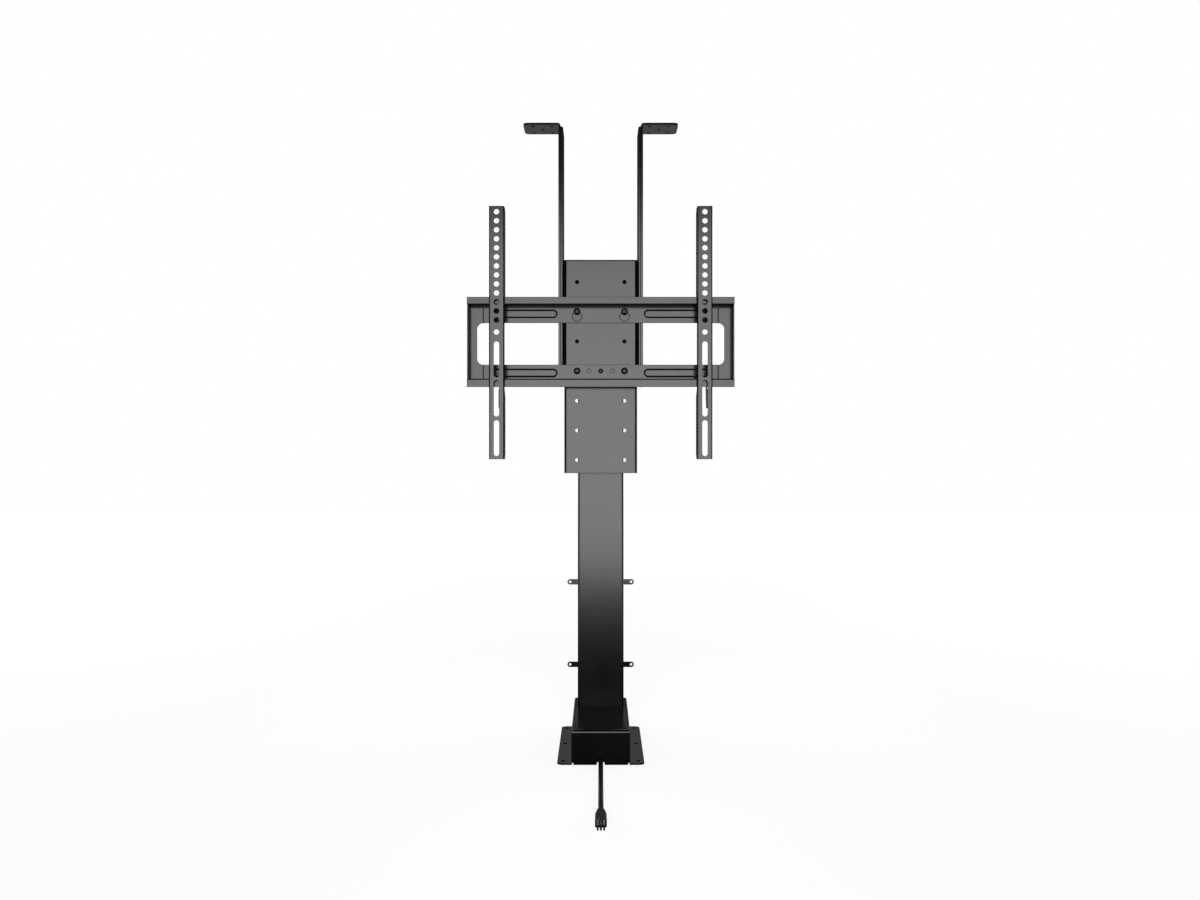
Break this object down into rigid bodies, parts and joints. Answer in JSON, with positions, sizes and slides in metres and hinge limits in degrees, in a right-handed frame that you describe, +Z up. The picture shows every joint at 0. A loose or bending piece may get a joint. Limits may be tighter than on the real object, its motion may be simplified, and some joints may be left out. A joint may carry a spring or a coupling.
{
  "type": "tv lift mechanism",
  "caption": "Motorised telescopic floor column that raises a television rail with hanging arms and a pair of cabinet lid supports, driven by a worm gear and nested spindles.",
  "frame": {"origin": "on the floor at the centre of the six floor fixing holes", "axes": "+X to the viewer's right along the rail, -Y towards the viewer and the screen, +Z up the column"},
  "size_m": [0.4448, 0.457, 1.055],
  "materials": {
    "black_paint": "satin black powder coat",
    "dark_tube": "smooth satin black enamel",
    "black_fastener": "black oxide",
    "zinc_plate": "bright zinc plate",
    "steel": "oiled turned steel",
    "motor_case": "cast and turned",
    "bronze": "machined bronze",
    "nut_plastic": "natural moulded",
    "black_plastic": "fine moulded texture",
    "cable_jacket": "matt sheath"
  },
  "bodies": {
    "base": {"base_housing": "black_paint", "foot_plate": "black_paint", "outer_tube": "black_paint", "outer_tube_collar": "black_plastic", "rear_strap_lower": "black_paint", "rear_strap_upper": "black_paint", "strap_screws": "black_fastener", "motor_can": "motor_case", "motor_flange": "motor_case", "gearbox_case": "motor_case", "gearbox_lid": "motor_case", "gearbox_screws": "zinc_plate", "screw_bearing": "zinc_plate", "worm_bushes": "bronze", "cable_gland": "cable_jacket", "inner_lead": "cable_jacket", "motor_cable": "cable_jacket", "cable_plug": "black_plastic", "plug_contacts": "zinc_plate"},
    "worm": {"worm_shaft": "steel"},
    "spindle": {"worm_wheel": "bronze", "drive_screw": "steel"},
    "middle_stage": {"middle_tube": "dark_tube", "middle_tube_collar": "black_plastic", "middle_foot_glide": "black_plastic", "middle_nut": "nut_plastic", "upper_screw_retainer": "zinc_plate"},
    "upper_spindle": {"upper_screw": "steel"},
    "carriage": {"inner_tube": "dark_tube", "inner_foot_glide": "black_plastic", "inner_nut": "nut_plastic", "inner_tube_cap": "black_plastic", "head_bracket": "black_paint", "head_bolts": "zinc_plate", "plate_inserts": "black_fastener", "mount_plate": "black_paint", "rail_upper_channel": "black_paint", "rail_lower_channel": "black_paint", "rail_end_left": "black_paint", "rail_end_right": "black_paint", "rail_bolts": "black_fastener", "rail_nuts": "zinc_plate", "rail_centre_screw": "black_fastener", "lid_upright_left": "black_paint", "lid_upright_right": "black_paint", "lid_spacers": "zinc_plate", "lid_upright_bolts": "black_fastener", "lid_clamp_bolts": "black_fastener", "lid_clamp_nuts": "zinc_plate"},
    "lid_left": {"lid_bracket_left": "black_paint"},
    "lid_right": {"lid_bracket_right": "black_paint"},
    "arm_left": {"tv_arm_left": "black_paint", "catch_pin_left": "zinc_plate"},
    "arm_right": {"tv_arm_right": "black_paint", "catch_pin_right": "zinc_plate"},
    "catch_left": {"safety_catch_left": "black_plastic"},
    "catch_right": {"safety_catch_right": "black_plastic"}
  },
  "joints": [
    {"name": "lift_slide", "type": "slide", "parent": "base", "child": "carriage", "axis": [0, 0, 1], "range_m": [0, 0.7]},
    {"name": "middle_slide", "type": "slide", "parent": "base", "child": "middle_stage", "axis": [0, 0, 1], "range_m": [0, 0.35]},
    {"name": "spindle_spin", "type": "hinge", "parent": "base", "child": "spindle", "pos_m": [0, 0.064, 0.02], "axis": [0, 0, 1], "continuous": true},
    {"name": "worm_spin", "type": "hinge", "parent": "base", "child": "worm", "pos_m": [0.0244, 0.064, 0.02], "axis": [0, 1, 0], "continuous": true},
    {"name": "upper_spindle_spin", "type": "hinge", "parent": "middle_stage", "child": "upper_spindle", "pos_m": [0, 0.064, 0.1], "axis": [0, 0, 1], "continuous": true},
    {"name": "lid_left_slide", "type": "slide", "parent": "carriage", "child": "lid_left", "axis": [0, 0, 1], "range_m": [0, 0.1]},
    {"name": "lid_right_slide", "type": "slide", "parent": "carriage", "child": "lid_right", "axis": [0, 0, 1], "range_m": [0, 0.1]},
    {"name": "arm_left_slide", "type": "slide", "parent": "carriage", "child": "arm_left", "axis": [1, 0, 0], "range_m": [-0.035, 0.072]},
    {"name": "arm_right_slide", "type": "slide", "parent": "carriage", "child": "arm_right", "axis": [1, 0, 0], "range_m": [-0.072, 0.035]},
    {"name": "catch_left_pivot", "type": "hinge", "parent": "arm_left", "child": "catch_left", "pos_m": [-0.1681, -0.042, 0.577], "axis": [-1, 0, 0], "range_deg": [0, 50]},
    {"name": "catch_right_pivot", "type": "hinge", "parent": "arm_right", "child": "catch_right", "pos_m": [0.1761, -0.042, 0.577], "axis": [-1, 0, 0], "range_deg": [0, 50]}
  ],
  "couplings": [
    {"joint": "middle_slide", "follows": "lift_slide", "ratio": 0.5},
    {"joint": "spindle_spin", "follows": "lift_slide", "rad_per_m": -196.35},
    {"joint": "upper_spindle_spin", "follows": "lift_slide", "rad_per_m": -196.35},
    {"joint": "worm_spin", "follows": "lift_slide", "rad_per_m": 4712.4}
  ]
}
